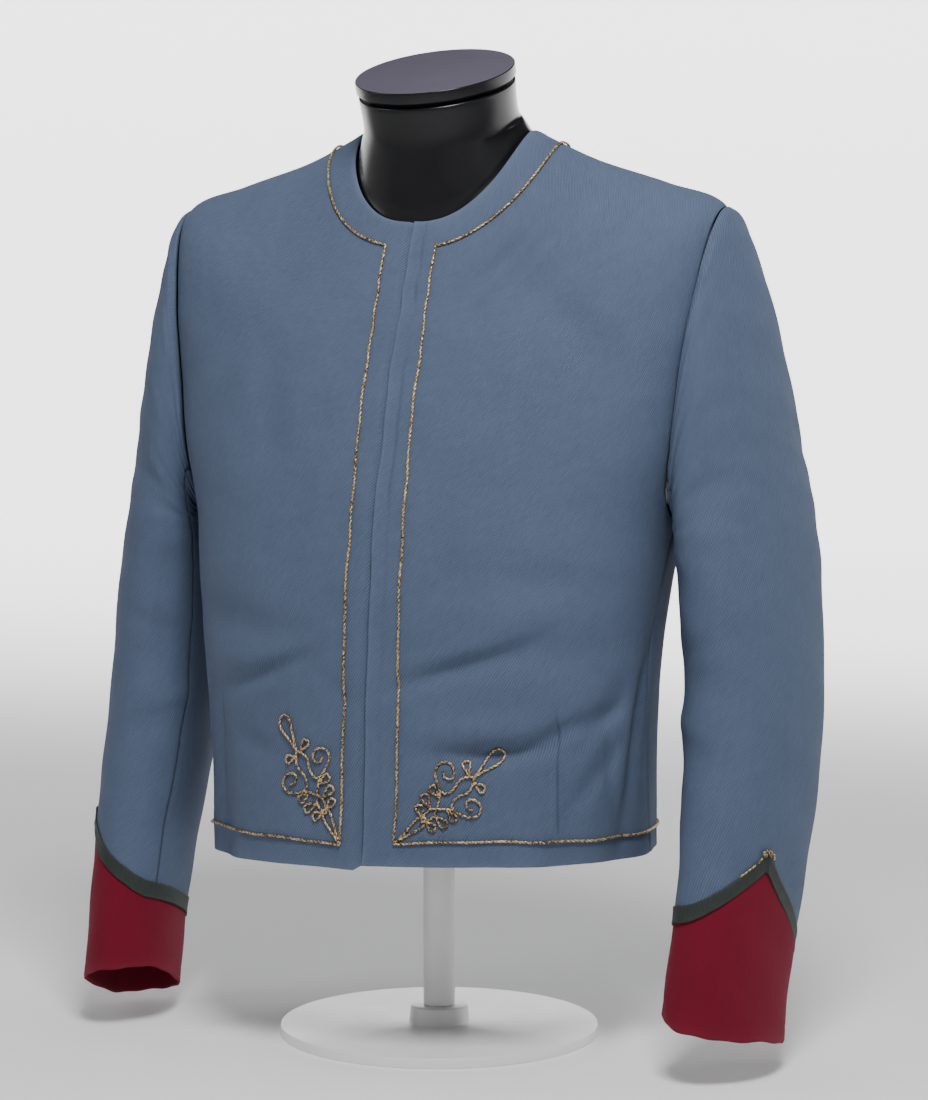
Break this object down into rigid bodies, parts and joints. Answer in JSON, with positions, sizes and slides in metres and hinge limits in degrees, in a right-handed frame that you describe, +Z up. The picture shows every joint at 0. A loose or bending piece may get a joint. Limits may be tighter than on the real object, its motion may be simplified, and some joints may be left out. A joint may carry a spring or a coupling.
{
  "type": "uniform jacket on dress form",
  "caption": "Waist-length collarless wool uniform jacket with pointed cuffs and sewn-on cord, worn on a limbless dress form on a pole stand.",
  "frame": {"origin": "centre of the underside of the stand's round base, on the floor", "axes": "+Z up, -Y the way the wearer faces, +X to the wearer's left"},
  "size_m": [0.5934, 0.284, 0.7716],
  "materials": {
    "wool": "matt wool twill",
    "crimson": "matt wool",
    "ribbon": "woven ribbon",
    "gold": "twisted metallic cord",
    "black": "gloss",
    "grey_cap": "satin",
    "white_steel": "satin paint"
  },
  "bodies": {
    "root": {"back": "wool", "front_left": "wool", "front_right": "wool", "upper_sleeve_left": "wool", "under_sleeve_left": "wool", "cuff_left": "crimson", "ribbon_left": "ribbon", "braid_left": "gold", "upper_sleeve_right": "wool", "under_sleeve_right": "wool", "cuff_right": "crimson", "ribbon_right": "ribbon", "braid_right": "gold", "form_torso": "black", "neck_cap": "grey_cap", "stand_pole": "white_steel", "stand_base": "white_steel"}
  },
  "joints": []
}
